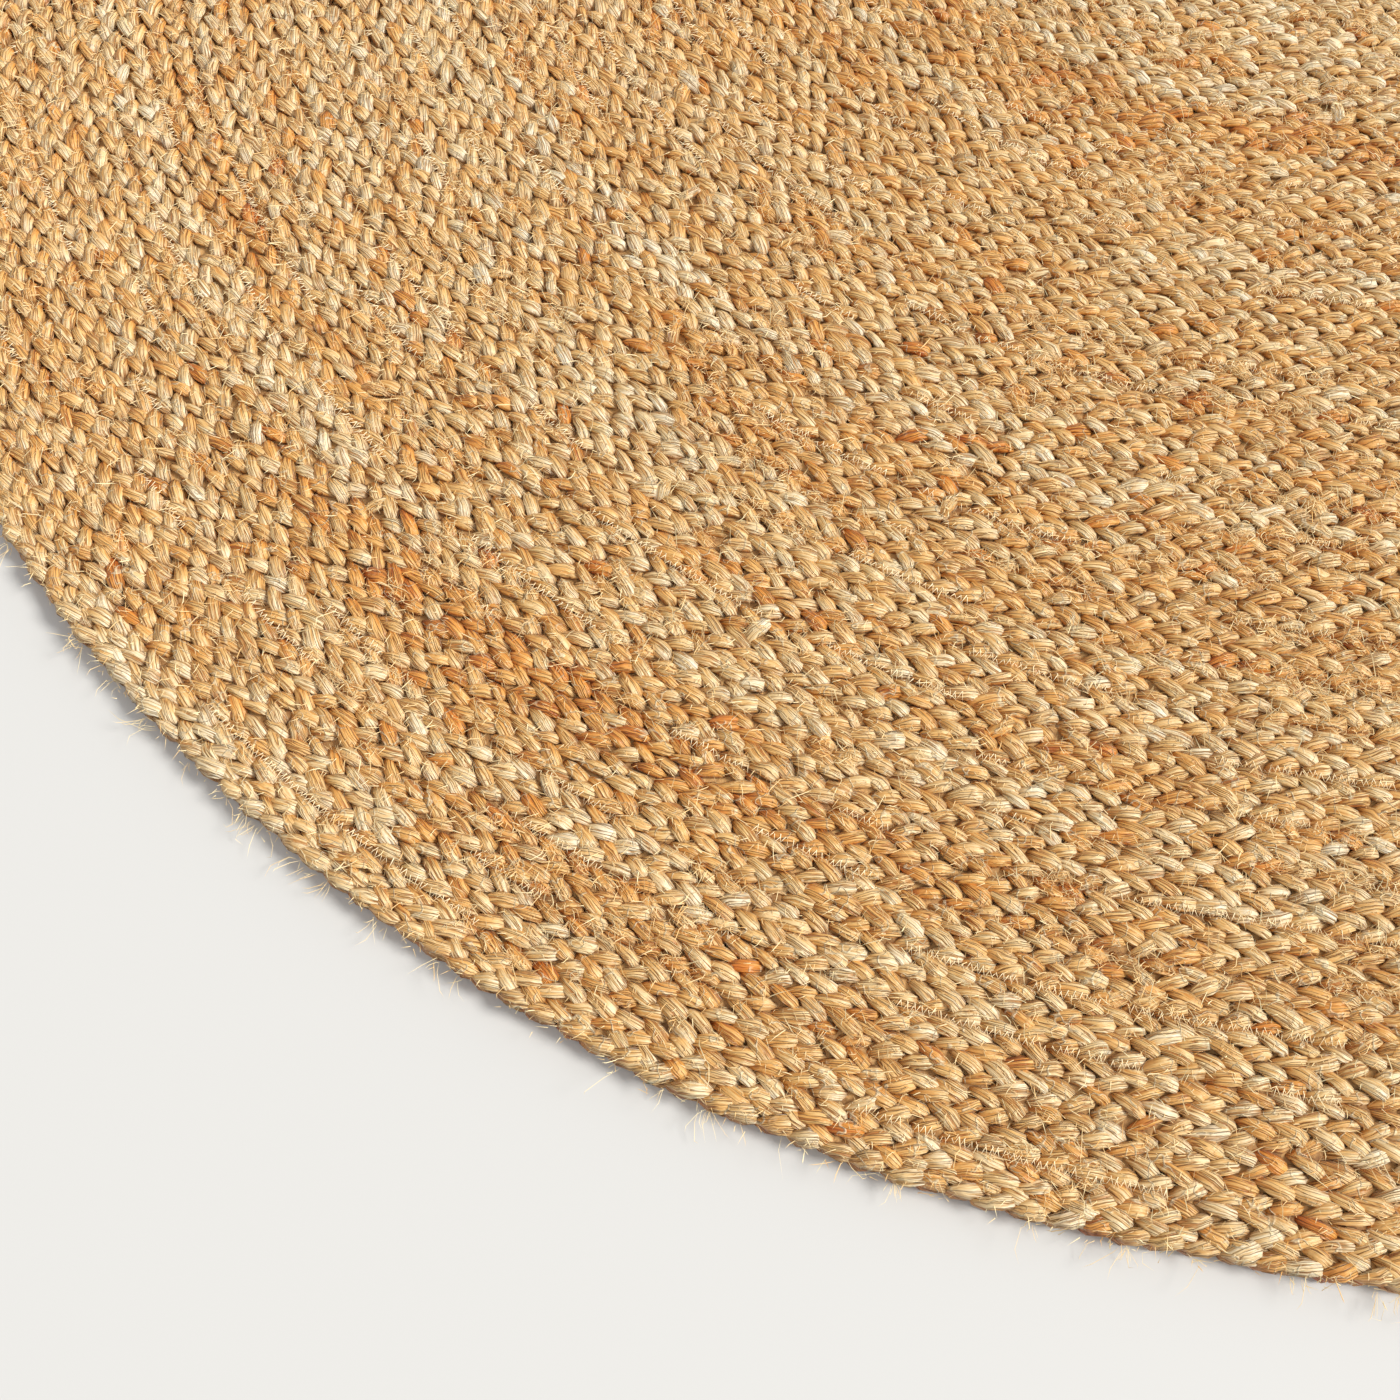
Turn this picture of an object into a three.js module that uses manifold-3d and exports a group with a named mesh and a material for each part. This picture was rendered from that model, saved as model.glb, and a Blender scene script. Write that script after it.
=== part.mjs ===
// An oval rug of plaited jute, in millimetres, +Z up, lying flat on z = 0.
//
// A rug of this kind is one long, flat, five-strand plait. It is laid out straight to start with, turned
// back round its own beginning, and then carried round and round, edge to edge, while a zigzag seam sews
// each round to the last one. So its plan is built here as it is laid on the bench:
//
//   - straight rows along X, one plait apart,
//   - half circles round one centre at the -X end,
//   - half circles round another centre at the +X end, half a plait further along Y. That half step is
//     what makes the rounds one continuous coil instead of separate rings.
//
// In section each row is a low ridge, with a groove where two rows are sewn together.

import * as THREE from "three";
import { mergeVertices } from "three/addons/utils/BufferGeometryUtils.js";
import Module from "manifold-3d";

// ---- Driving dimensions, mm
const plaitWidth = 17; // one row of the coil, from seam to seam
const rounds = 35; // rows on each side of the first, straight one
const coreLength = 600; // the first straight row, between the two centres of turning
const thickness = 10; // from the floor to the crest of a row
const grooveDepth = 2.4; // how far the sewn seams lie below the crests
const endTaper = 260; // the last of the plait thins away over this length

const turnSteps = 48; // sides of a full turn

// The -X end reaches half a plait further out than the +X end, so this centres the whole rug on X.
const leftCentre = new THREE.Vector2(-coreLength / 2 + plaitWidth / 4, 0);
const rightCentre = new THREE.Vector2(coreLength / 2 + plaitWidth / 4, plaitWidth / 2);
const leftRadius = (rounds + 0.5) * plaitWidth;
const rightRadius = rounds * plaitWidth;

// The rounded rim of the outermost row, as shares of half a plait out from its crest (across) and of the
// thickness (up). It runs from just outside the crest down to the floor.
const rim = [
  { across: 0.4, up: 0.9 },
  { across: 0.8, up: 0.68 },
  { across: 1.0, up: 0.4 },
  { across: 0.86, up: 0.0 },
];

const wasm = await Module();
wasm.setup();

// A three.js geometry as a solid that can be joined to others and cut.
function solidFrom(geometry) {
  const bare = geometry.clone();
  bare.deleteAttribute("normal");
  bare.deleteAttribute("uv");
  const merged = mergeVertices(bare, 1e-3);
  const mesh = new wasm.Mesh({
    numProp: 3,
    vertProperties: new Float32Array(merged.attributes.position.array),
    triVerts: new Uint32Array(merged.index.array),
  });
  return new wasm.Manifold(mesh);
}

// A joined solid as a three.js geometry again.
function geometryFrom(solid) {
  const mesh = solid.getMesh();
  const geometry = new THREE.BufferGeometry();
  geometry.setAttribute("position", new THREE.BufferAttribute(mesh.vertProperties, 3));
  geometry.setIndex(new THREE.BufferAttribute(mesh.triVerts, 1));
  const faceted = geometry.toNonIndexed();
  faceted.computeVertexNormals();
  return faceted;
}

// The upper face in section, from the inside out: a list of (distance, height) pairs that starts at
// distance 0 and alternates crest and groove every half plait. startsOnCrest says which comes first.
function ridges(outerRadius, startsOnCrest) {
  const points = [];
  const halfRows = Math.round((2 * outerRadius) / plaitWidth);
  for (let k = 0; k < halfRows; k += 1) {
    const onCrest = (k % 2 === 0) === startsOnCrest;
    const height = onCrest ? thickness : thickness - grooveDepth;
    points.push(new THREE.Vector2((k * plaitWidth) / 2, height));
  }
  const crest = outerRadius - plaitWidth / 2;
  for (const { across, up } of rim) {
    points.push(new THREE.Vector2(crest + (across * plaitWidth) / 2, up * thickness));
  }
  return points;
}

// Half of a turned disc: the rows that go round one centre. side is -1 for the -X end and 1 for +X.
function turnedEnd(centre, outerRadius, startsOnCrest, side) {
  const section = [new THREE.Vector2(0, 0), ...ridges(outerRadius, startsOnCrest).reverse()];
  const disc = new THREE.LatheGeometry(section, turnSteps);
  disc.rotateX(Math.PI / 2); // the lathe turns round Y, and the rug lies in XY
  disc.translate(centre.x, centre.y, 0);

  const reach = 2 * outerRadius;
  const keep = new THREE.BoxGeometry(reach, 2 * reach, 4 * thickness);
  keep.translate(centre.x + (side * reach) / 2, centre.y, 0);
  return solidFrom(disc).intersect(solidFrom(keep));
}

// The straight rows between the two ends: the section from edge to edge, drawn out along X.
function straightRows() {
  const outward = ridges(leftRadius, true);
  const mirrored = outward.slice(1).map((point) => new THREE.Vector2(-point.x, point.y));
  const section = new THREE.Shape([...mirrored.reverse(), ...outward]);
  const rows = new THREE.ExtrudeGeometry(section, {
    depth: coreLength,
    bevelEnabled: false,
  });
  // The section was drawn in XY and drawn out along Z: stand it up across Y, running along X.
  rows.rotateX(Math.PI / 2);
  rows.rotateZ(Math.PI / 2);
  rows.translate(leftCentre.x, 0, 0);
  return solidFrom(rows);
}

// The last of the plait runs on from the end of the outermost -Y row, thinning to a point against the
// row inside it, where a maker turns the strands under and sews them down.
function taperedEnd() {
  const turn = endTaper / rightRadius;
  const sides = 7;
  const widest = plaitWidth * 0.93;
  const overlap = plaitWidth * 0.3; // how far it reaches into the row that it is sewn to
  const outer = [];
  const inner = [];
  for (let k = 0; k <= sides; k += 1) {
    const share = k / sides;
    const angle = -Math.PI / 2 + turn * share;
    const out = rightRadius + (widest * (1 + Math.cos(Math.PI * share))) / 2;
    const within = rightRadius - overlap;
    outer.push(new THREE.Vector2(Math.cos(angle) * out, Math.sin(angle) * out).add(rightCentre));
    inner.push(new THREE.Vector2(Math.cos(angle) * within, Math.sin(angle) * within).add(rightCentre));
  }
  const plan = new THREE.Shape([...outer, ...inner.reverse()]);
  const wedge = new THREE.ExtrudeGeometry(plan, { depth: thickness - grooveDepth, bevelEnabled: false });
  return solidFrom(wedge);
}

function makeRug() {
  const solid = straightRows()
    .add(turnedEnd(leftCentre, leftRadius, true, -1))
    .add(turnedEnd(rightCentre, rightRadius, false, 1))
    .add(taperedEnd());
  const jute = new THREE.MeshStandardMaterial({ color: 0xb98a55, roughness: 0.9, metalness: 0 });
  const rug = new THREE.Mesh(geometryFrom(solid), jute);
  rug.name = "braided_rug";
  return rug;
}

const group = new THREE.Group();
group.add(makeRug());

export default group;
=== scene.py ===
# %% [markdown]
# # An oval rug of plaited jute
#
# This rug is one very long, flat plait of five jute strands. It starts as a straight row, turns back
# round its own beginning, and goes round and round until it is an oval. A zigzag seam sews each round to
# the last.
#
# The lesson follows the maker: first the path that the plait is laid along, then one lobe of one strand,
# then every lobe of the plait along that path, then the loose fibres and the sewing thread. The
# materials, the floor and the light come last. All sizes are in metres.

import math

import bpy
import numpy as np
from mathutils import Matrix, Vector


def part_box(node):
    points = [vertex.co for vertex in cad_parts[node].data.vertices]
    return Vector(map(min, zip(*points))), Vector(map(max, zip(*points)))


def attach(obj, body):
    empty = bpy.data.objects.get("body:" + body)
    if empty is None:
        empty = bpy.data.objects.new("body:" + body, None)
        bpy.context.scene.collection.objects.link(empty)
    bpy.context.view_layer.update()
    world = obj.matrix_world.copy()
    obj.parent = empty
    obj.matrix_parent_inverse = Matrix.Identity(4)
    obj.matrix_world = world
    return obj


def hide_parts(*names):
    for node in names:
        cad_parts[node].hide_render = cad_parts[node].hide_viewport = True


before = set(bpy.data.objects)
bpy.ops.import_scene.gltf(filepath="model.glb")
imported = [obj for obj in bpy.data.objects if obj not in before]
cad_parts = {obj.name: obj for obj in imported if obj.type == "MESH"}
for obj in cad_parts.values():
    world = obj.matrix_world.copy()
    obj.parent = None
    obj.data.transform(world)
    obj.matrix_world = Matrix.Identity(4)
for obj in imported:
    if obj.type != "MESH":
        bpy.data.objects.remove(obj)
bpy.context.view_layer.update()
rug_low, rug_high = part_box("braided_rug")
print("frame box", [round(v, 4) for v in rug_low], [round(v, 4) for v in rug_high])

# %% [markdown]
# ## Sizes
#
# The frame gives the rug's length, width and thickness. The plait's own width settles everything else:
# with it, the rug's width tells how many rounds there are, and its length tells how long the first
# straight row is. One *lobe* is the stretch of a strand that shows on top between two places where it
# dives under another.

# %% The driving sizes
mm = 0.001
plait_width = 17 * mm  # one row of the coil, from seam to seam
rounds = round((rug_high[1] - rug_low[1]) / plait_width / 2 - 0.5)  # rows on each side of the first one
core_length = rug_high[0] - rug_low[0] - (2 * rounds + 0.5) * plait_width  # the first, straight row
thickness = rug_high[2] - rug_low[2]
lobe_pitch = 9.6 * mm  # from one lobe to the next in the same column
end_taper = 260 * mm  # the plait's last stretch, where it thins away
end_cut = 0.8  # the share of that stretch where its last thin lobes end
print("rounds", rounds, "core", round(core_length, 4), "thickness", round(thickness, 4))

# %% [markdown]
# ## The path of the plait
#
# An oval coil can be drawn with straight lines and half circles only, if the half circles at one end are
# centred half a row further over than those at the other end. That small step turns separate rings into
# one continuous coil. The path is kept as a table of stretches, one row for each straight or half circle,
# so that any point of the plait can be found from how far along it lies.

# %% The two centres
left_centre = np.array([-core_length / 2 + plait_width / 4, 0.0])
right_centre = np.array([core_length / 2 + plait_width / 4, plait_width / 2])
right_radius = rounds * plait_width
print("centres", left_centre.round(4), "and", right_centre.round(4))

# %% [markdown]
# A round has four stretches: the lower straight, the half circle at the right, the upper straight and the
# half circle at the left. Each half circle is half a row wider than the one before it.

# %% The stretches of the coil
stretch_type = np.dtype(
    [
        ("start", float),  # distance along the plait where the stretch begins
        ("length", float),
        ("radius", float),  # of the half circle, or 0 on a straight
        ("centre", float, 2),  # of the half circle, or the straight's first point
        ("turned", float),  # direction from the centre to the first point, or the straight's outward side
    ]
)


def coil_stretches():
    """Every straight and half circle of the coil, from the middle outwards."""
    rows = []
    along = 0.0

    def add(length, radius, centre, turned):
        nonlocal along
        rows.append((along, length, radius, tuple(centre), turned))
        along += length

    for k in range(rounds + 1):
        lower_y = -k * plait_width
        upper_y = (k + 1) * plait_width
        add(core_length, 0.0, (left_centre[0], lower_y), -math.pi / 2)
        if k == rounds:
            break
        right_turn = (k + 0.5) * plait_width
        add(math.pi * right_turn, right_turn, right_centre, -math.pi / 2)
        add(core_length, 0.0, (right_centre[0], upper_y), math.pi / 2)
        left_turn = (k + 1) * plait_width
        add(math.pi * left_turn, left_turn, left_centre, math.pi / 2)
    return np.array(rows, dtype=stretch_type)


stretches = coil_stretches()
print("stretches", len(stretches))

# %% [markdown]
# The later steps need a few measures of the whole plait: how long it is, where its outermost round
# begins, where its last lobes lie, and how large an area it covers.

# %% Measures of the whole plait
full_length = stretches["start"][-1] + stretches["length"][-1]
last_round = stretches["start"][-4]  # where the outermost round begins
first_turn = end_taper * (rounds - 0.5) / rounds  # how much of it the tapered end covers
lobes_end = full_length + end_cut * end_taper  # where the last lobes lie
rim_start_along = last_round + end_cut * first_turn  # where the plait becomes the rug's rim


# %% [markdown]
# Next comes the function that lays anything on the coil. It takes the distance along the plait, the
# distance out from the plait's middle line, and the height. The very first end is rounded, and the last
# end thins away along the row inside it, so at both the distance out is scaled down.

# %% Lay points on the coil
def lay(along, out, height):
    """World points for places on the plait. All three are arrays of one shape."""
    along, out, height = np.broadcast_arrays(along, out, height)
    which = np.clip(np.searchsorted(stretches["start"], along, side="right") - 1, 0, len(stretches) - 1)
    on = stretches[which]
    past = along - on["start"]
    radius = on["radius"]
    straight = radius == 0

    # The rounded beginning
    before = np.clip(-along / (plait_width / 2), 0, 1)
    out = out * np.sqrt(1 - before**2)

    # Straights: go along from the first point, and step out to the outward side.
    side = np.where(on["turned"] < 0, 1.0, -1.0)
    x_straight = on["centre"][..., 0] + side * past
    y_straight = on["centre"][..., 1] - side * out

    # Half circles: turn about the centre.
    safe_radius = np.where(straight, 1.0, radius)
    angle = on["turned"] + past / safe_radius
    x_turn = on["centre"][..., 0] + (radius + out) * np.cos(angle)
    y_turn = on["centre"][..., 1] + (radius + out) * np.sin(angle)

    # The tapered end follows the outside of the last half circle at the right.
    beyond = along - full_length
    share = np.clip(beyond / end_taper, 0, 1)
    swell = plait_width * (1 + np.cos(np.pi * share)) / 2
    end_angle = -math.pi / 2 + beyond / right_radius
    end_reach = right_radius + swell / 2 + out * swell / plait_width
    x_end = right_centre[0] + end_reach * np.cos(end_angle)
    y_end = right_centre[1] + end_reach * np.sin(end_angle)

    x = np.where(beyond > 0, x_end, np.where(straight, x_straight, x_turn))
    y = np.where(beyond > 0, y_end, np.where(straight, y_straight, y_turn))
    return np.stack([x, y, height + np.zeros_like(x)], axis=-1)


plait_ends = lay(np.array([0.0, full_length + end_taper]), 0.0, 0.0).round(3)
print("plait from", plait_ends[0], "to", plait_ends[1])

# %% [markdown]
# ## Camera first
#
# The camera looks down at one end of the rug from close by. It is placed now, because the lobes that it
# sees from close by get a finer shape than the rest, which keeps the whole rug light enough to work with.

# %% The camera
# What the camera looks at, in rows of the plait from the left centre, at the height of the lobes' tops
rows_left = 10.05
rows_down = 26.85
top_share = 0.8  # of the thickness
view_centre = np.array([left_centre[0] - rows_left * plait_width, -rows_down * plait_width, 0.0])
view_centre[2] = thickness * top_share
view_turn = math.radians(9.4)  # the camera's right-hand side, turned from the rug's length
view_drop = math.radians(68)  # how steeply it looks down
view_distance = 0.4913
lens = 38.6  # in mm, as the sensor's width is
sensor = 36.0
toward = np.array([-math.sin(view_turn), math.cos(view_turn), 0.0])
camera_place = view_centre - view_distance * math.cos(view_drop) * toward
camera_place[2] += view_distance * math.sin(view_drop)

bpy.ops.object.select_all(action="DESELECT")
bpy.ops.object.camera_add(location=camera_place, rotation=(math.pi / 2 - view_drop, 0, view_turn))
camera = bpy.context.object
camera.name = "camera"
camera.data.lens = lens
camera.data.sensor_width = sensor
camera.data.clip_start = 0.01
bpy.context.scene.camera = camera
print("camera at", [round(v, 3) for v in camera_place])


# %% [markdown]
# The next function tells which points lie in the camera's view. It works out how far each one lies ahead
# of the camera, across and above, and the lens tells how wide the view is at that distance.

# %% What the camera sees
def seen_closely(points, margin=1.06):
    """Which points lie inside the camera's square view, a little widened."""
    across = np.array([math.cos(view_turn), math.sin(view_turn), 0.0])
    ahead = toward * math.cos(view_drop) + np.array([0, 0, -math.sin(view_drop)])
    above = np.cross(across, ahead)
    away = points - camera_place
    depth = away @ ahead
    half = margin * sensor / lens / 2
    return (np.abs(away @ across) < half * depth) & (np.abs(away @ above) < half * depth) & (depth > 0)


print("the camera sees its own target:", bool(seen_closely(view_centre[None])[0]))

# %% [markdown]
# ## The small shapes
#
# Everything in this rug is long and thin, so four small shapes are enough, each modelled once with its
# length along X. A ball with its poles at tail and head becomes a lobe of a strand, and a ball with the
# fewest rings makes the curled fibres. A five-sided cone with its point down makes the lobes outside the
# camera's view: its flat face, with one corner at the head, already has a lobe's outline, and it has
# eight triangles where the ball has sixty. A thin three-sided cone makes the straight fibres and the legs
# of the seam.

# %% Model the small shapes
quarter = math.pi / 2


def taken(name):
    """Points and faces of the shape that was just made. The shape itself is removed again."""
    made = bpy.context.object
    made.name = name
    bpy.ops.object.transform_apply(location=True, rotation=True, scale=False)
    points = np.array([tuple(vertex.co) for vertex in made.data.vertices])
    faces = [tuple(polygon.vertices) for polygon in made.data.polygons]
    bpy.data.objects.remove(made, do_unlink=True)
    low, high = points.min(axis=0).round(2), points.max(axis=0).round(2)
    print(name, "points", len(points), "faces", len(faces), "from", low, "to", high)
    return points, faces


bpy.ops.object.select_all(action="DESELECT")
bpy.ops.mesh.primitive_uv_sphere_add(segments=5, ring_count=7, radius=1, rotation=(0, quarter, 0))
fine_ball = taken("fine_ball")
bpy.ops.mesh.primitive_uv_sphere_add(segments=3, ring_count=3, radius=1, rotation=(0, quarter, 0))
coarse_ball = taken("coarse_ball")
plain_depth = 3.2  # from the flat face down to the point
plain_place = (0, 0, -plain_depth / 4)
plain_turn = (math.pi, 0, quarter)  # upside down, with a corner at the head
bpy.ops.mesh.primitive_cone_add(
    vertices=5, radius1=1, radius2=0, depth=plain_depth, location=plain_place, rotation=plain_turn
)
plain_lobe = taken("plain_lobe")
bpy.ops.mesh.primitive_cone_add(vertices=3, radius1=1, radius2=0, depth=2, rotation=(0, quarter, 0))
spike = taken("spike")

# %% [markdown]
# ## Where every lobe goes
#
# In a five-strand plait each strand crosses to the far edge and back, over one strand and under the next.
# Its top shows four columns of lobes. Columns one and three lean in towards the rug's middle as the plait
# runs on, and columns two and four lean out, half a pitch later, so each pair makes a row of arrowheads.
# The table below names, for each column, its place across the plait, its lean, and which strand comes up
# in it.

# %% The four columns of a plait
strand_count = 5
# out: share of the plait's width from its middle line
# lean: 1 runs outwards and -1 inwards as the plait runs on
# half: 1 if the column is half a pitch later
# lag: half pitches since its strand left the edge
column_table = [
    {"out": 0.375, "lean": -1, "half": 0, "lag": 0},
    {"out": 0.125, "lean": 1, "half": 1, "lag": 7},
    {"out": -0.125, "lean": -1, "half": 0, "lag": 2},
    {"out": -0.375, "lean": 1, "half": 1, "lag": 5},
]
print("strands", strand_count, "columns", len(column_table))

# %% [markdown]
# Every lobe of the rug is then one row of a larger table. It keeps how far along the plait the lobe lies,
# how far out, its lean, its column and its strand. Half a pitch is one step.

# %% Place every lobe
half_pitch = lobe_pitch / 2
lobes_start = -0.3 * plait_width  # inside the rounded beginning
steps = np.arange(int(lobes_start / half_pitch), int(lobes_end / half_pitch))


def all_lobes():
    """One record for each lobe of the rug: its place, lean, column and strand."""
    parts = []
    for number, column in enumerate(column_table):
        mine = steps[(steps - column["half"]) % 2 == 0]
        parts.append(
            {
                "along": mine * half_pitch,
                "out": np.full(len(mine), column["out"] * plait_width),
                "lean": np.full(len(mine), float(column["lean"])),
                "column": np.full(len(mine), number),
                "strand": ((mine - column["lag"]) // 2) % strand_count,
            }
        )
    return {key: np.concatenate([part[key] for part in parts]) for key in parts[0]}


lobes = all_lobes()
lobe_count = len(lobes["along"])
outermost = lobes["along"] > rim_start_along
rim_lobe = outermost & (lobes["column"] == 0)
second_lobe = outermost & (lobes["column"] == 1)
near = seen_closely(lay(lobes["along"], lobes["out"], thickness))
print("lobes", lobe_count, "seen closely", int(near.sum()), "on the rim", int(rim_lobe.sum()))

# %% [markdown]
# ## The colour of the strands
#
# Jute is not dyed here. Each strand keeps its own tone for a hand's length or more, because it comes from
# one bundle of stalks, and now and then a bundle is darker where bark was left on. So a tone is worked
# out for each strand along the plait, then changed a little from lobe to lobe, and kept as an attribute
# for the material. How thick a strand is, and how red, wanders along the plait in the same way.

# %% Values that wander along the plait
rng = np.random.default_rng(17)


def wandering(places, knot_spacing, spread):
    """A smooth random value for places along the plait, with a fresh value every knot_spacing."""
    span = full_length + end_taper + plait_width
    knots = np.arange(-plait_width, span + knot_spacing, knot_spacing)
    values = rng.normal(0, spread, len(knots))
    return np.interp(places, knots, values)


def along_each_strand(*layers):
    """The sum of wandering values, fresh for each strand, at every lobe."""
    total = np.zeros(lobe_count)
    for strand in range(strand_count):
        mine = lobes["strand"] == strand
        for knot_spacing, spread in layers:
            total[mine] += wandering(lobes["along"][mine], knot_spacing, spread)
    return total


print("lobes of each strand", np.bincount(lobes["strand"]))

# %% [markdown]
# Below, a pair of numbers says how far a value lasts along the plait, in metres, and how much it varies.
# A few lobes are rusty, a few are knots, and in some places the columns by a seam are frayed.

# %% Tone, redness and girth of every lobe
strand_tones = ((0.7, 0.08), (0.16, 0.08))  # fresh for each strand
plait_tones = ((1.1, 0.07), (0.12, 0.07))  # the same for all five strands
lobe_tone = 0.07  # how much the tone varies from lobe to lobe
usual_redness = 0.4
most_redness = 0.8  # of a lobe that isn't rusty
strand_redness = (0.4, 0.16)
lobe_redness = 0.12
strand_girth = (0.2, 0.09)
lobe_girth = 0.1
rusty_share = 0.018  # of all lobes
rusty_tone = (0.12, 0.38)  # from the darkest to the palest
knotted_share = 0.007
# How much darker a frayed lobe is, as painted shade under its loose fibres.
fray_shade = 0.12
patch_length = 0.03  # how long a frayed place is, or a place where the seam's thread shows
fray_level = 0.7  # the plait is frayed where a wandering value is above this

tone = 0.5 + along_each_strand(*strand_tones)
for knot_spacing, spread in plait_tones:
    tone += wandering(lobes["along"], knot_spacing, spread)
tone += rng.normal(0, lobe_tone, lobe_count)
rusty = rng.random(lobe_count) < rusty_share
tone[rusty] = rng.uniform(*rusty_tone, int(rusty.sum()))
redness = usual_redness + along_each_strand(strand_redness) + rng.normal(0, lobe_redness, lobe_count)
redness = np.clip(redness, 0, most_redness)
redness[rusty] = 1
girth = 1 + along_each_strand(strand_girth) + rng.normal(0, lobe_girth, lobe_count)
by_seam = (lobes["column"] == 0) | (lobes["column"] == 3)
frayed = (wandering(lobes["along"], patch_length, 1.0) > fray_level) & by_seam & ~rim_lobe
knotted = (rng.random(lobe_count) < knotted_share) & ~rim_lobe & (lobes["along"] < full_length)
# Frayed lobes are darkened, as painted shade under their loose fibres.
tone = np.clip(tone - fray_shade * frayed, 0, 1)
print("tone mean", round(float(tone.mean()), 3), "spread", round(float(tone.std()), 3))

# %% [markdown]
# ## Shape and lay the lobes
#
# Every lobe is a copy of one of the small shapes. It is set on the plait, turned by its lean, and sunk at
# both ends, so that the tail comes up from under one neighbour and the head turns down under the next.
# Each one gets its own small differences in length, width, lean and place, since strands are twisted and
# pulled tight by hand.
#
# On the outermost round the edge column is fuller and wraps round the rim, and a mirrored set of lobes
# below it shows the plait's underside from the side.

# %% Sizes of a lobe
lobe_length = 15.0 * mm
lobe_width = 6.2 * mm
lobe_height = 4.4 * mm
lobe_belly = 0.7  # how full a lobe is below, against 1 above
lobe_lean = math.radians(18)
crest_at = 0.1  # where along itself a lobe is highest, from -1 at the tail to 1 at the head
end_sink = 2.9 * mm  # how far both ends turn down under the neighbours
groove_sink = 0.8 * mm  # how much lower the lobes lie beside a seam
groove_power = 3  # how late on the way to a seam they begin to sink
groove_limit = 1.2  # of half the plait's width, past which they sink no further
skin_unevenness = 0.2 * mm
fray_unevenness = 1.2  # how much more uneven a frayed lobe is, as a share
rim_start = 4.2 * mm  # out from the middle line, where the outermost row begins to turn down
rim_radius = 4.6 * mm
rim_wrap = 1.9  # the most that it turns, in radians: a little past straight down
# How the two columns by the rim differ from the others
rim_table = [
    {"lobe": rim_lobe, "longer": 0.16, "wider": 0.25, "leaning": 0.08, "out": -0.6 * mm, "up": 0.6 * mm},
    {"lobe": second_lobe, "longer": -0.06, "wider": 0.0, "leaning": 0.0, "out": -1.2 * mm, "up": -0.3 * mm},
]
print("a lobe is", [round(size / mm, 1) for size in (lobe_length, lobe_width, lobe_height)], "mm")

# %% [markdown]
# Now each lobe gets its own sizes. All of them are drawn at once, as arrays with one value for each lobe.

# %% Vary the lobes
size_spread = 0.08  # of length and height, as a share
length_range = (0.8, 1.25)  # the least and the most, as shares
width_range = (0.72, 1.35)
height_range = (0.75, 1.2)
lean_spread = 0.12  # radians
knot_spread = 0.8  # how much more a knotted lobe is turned, in radians
roll_spread = 0.13
place_spread = {"shift_along": 0.65 * mm, "shift_out": 0.35 * mm, "shift_up": 0.3 * mm}
knot_rise = 0.9 * mm
fray_sink = 0.4 * mm
vary = np.random.default_rng(5)


def around(middle, spread, low=-math.inf, high=math.inf):
    """One random value for each lobe, kept between low and high."""
    return np.clip(vary.normal(middle, spread, lobe_count), low, high)


lobes["length"] = lobe_length * around(1, size_spread, *length_range)
lobes["width"] = lobe_width * np.clip(girth, *width_range)
lobes["height"] = lobe_height * around(1, size_spread, *height_range)
lobes["turn"] = lobes["lean"] * around(lobe_lean, lean_spread)
lobes["turn"] += knotted * around(0, knot_spread)
lobes["roll"] = around(0, roll_spread)
for key, spread in place_spread.items():
    lobes[key] = around(0, spread)
lobes["shift_up"] += knot_rise * knotted - fray_sink * frayed
for row in rim_table:
    lobes["length"] *= 1 + row["longer"] * row["lobe"]
    lobes["width"] *= 1 + row["wider"] * row["lobe"]
    lobes["turn"] += lobes["lean"] * row["leaning"] * row["lobe"]
    lobes["shift_out"] += row["out"] * row["lobe"]
    lobes["shift_up"] += row["up"] * row["lobe"]
shortest, longest = lobes["length"].min() / mm, lobes["length"].max() / mm
print("lobes from", round(float(shortest), 1), "to", round(float(longest), 1), "mm long")

# %% [markdown]
# Seen from above, a strand swells from a thin tail to its widest place past the middle, and closes in a
# blunt head. Seen from the side it is an arch, highest a little past its middle. Two short functions say
# so, and a third one gives the ball that thickness.

# %% The profile of a lobe
tiny = 1e-6
tail_end = 0.4  # where along a strand the tail has swollen to its full size
head_start = 0.25  # where the head begins to close
bluntness = 2.2  # how late the head closes
plumpness = 0.8  # below 1 for a fuller strand
arch_power = 1.5  # how long the strand stays near its crest


def at_tip(points):
    """Which points of a shape lie at its tail or head end."""
    return np.abs(points[:, 0]) > 0.999


def swell_along(t):
    """The half-thickness of a strand from its tail at -1 to its head at 1, as a share of its fullest."""
    tail = np.clip((1 + t) / (1 + tail_end), 0, 1)
    head = np.clip((t - head_start) / (1 - head_start), 0, 1)
    return (1 - (1 - tail) ** 2) ** plumpness * (1 - head**bluntness) ** plumpness


def sink_along(t):
    """How far a strand's middle lies below its crest."""
    toward_end = np.where(t > crest_at, (t - crest_at) / (1 - crest_at), (crest_at - t) / (1 + crest_at))
    return end_sink * (1 - np.cos(toward_end * math.pi / 2)) ** arch_power


def swollen(ball):
    """The ball with each of its rings resized to a strand's thickness there."""
    points, faces = ball
    ring = np.maximum(np.hypot(points[:, 1], points[:, 2]), tiny)
    fullness = np.where(at_tip(points), 0.0, swell_along(points[:, 0])) / ring
    return np.column_stack([points[:, 0], points[:, 1] * fullness, points[:, 2] * fullness]), faces


fine_lobe = swollen(fine_ball)
print("fullness from tail to head", swell_along(np.linspace(-1, 1, 9)).round(2))

# %% [markdown]
# The next function turns a small shape into all the chosen lobes at once. A row of each array is one lobe
# and a column is one point of the shape. The outward side of the plait is to the right as it runs on, so
# the shape is mirrored across, to keep its faces looking outwards. On the underside it is turned over as
# well, which mirrors it once more.

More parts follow.
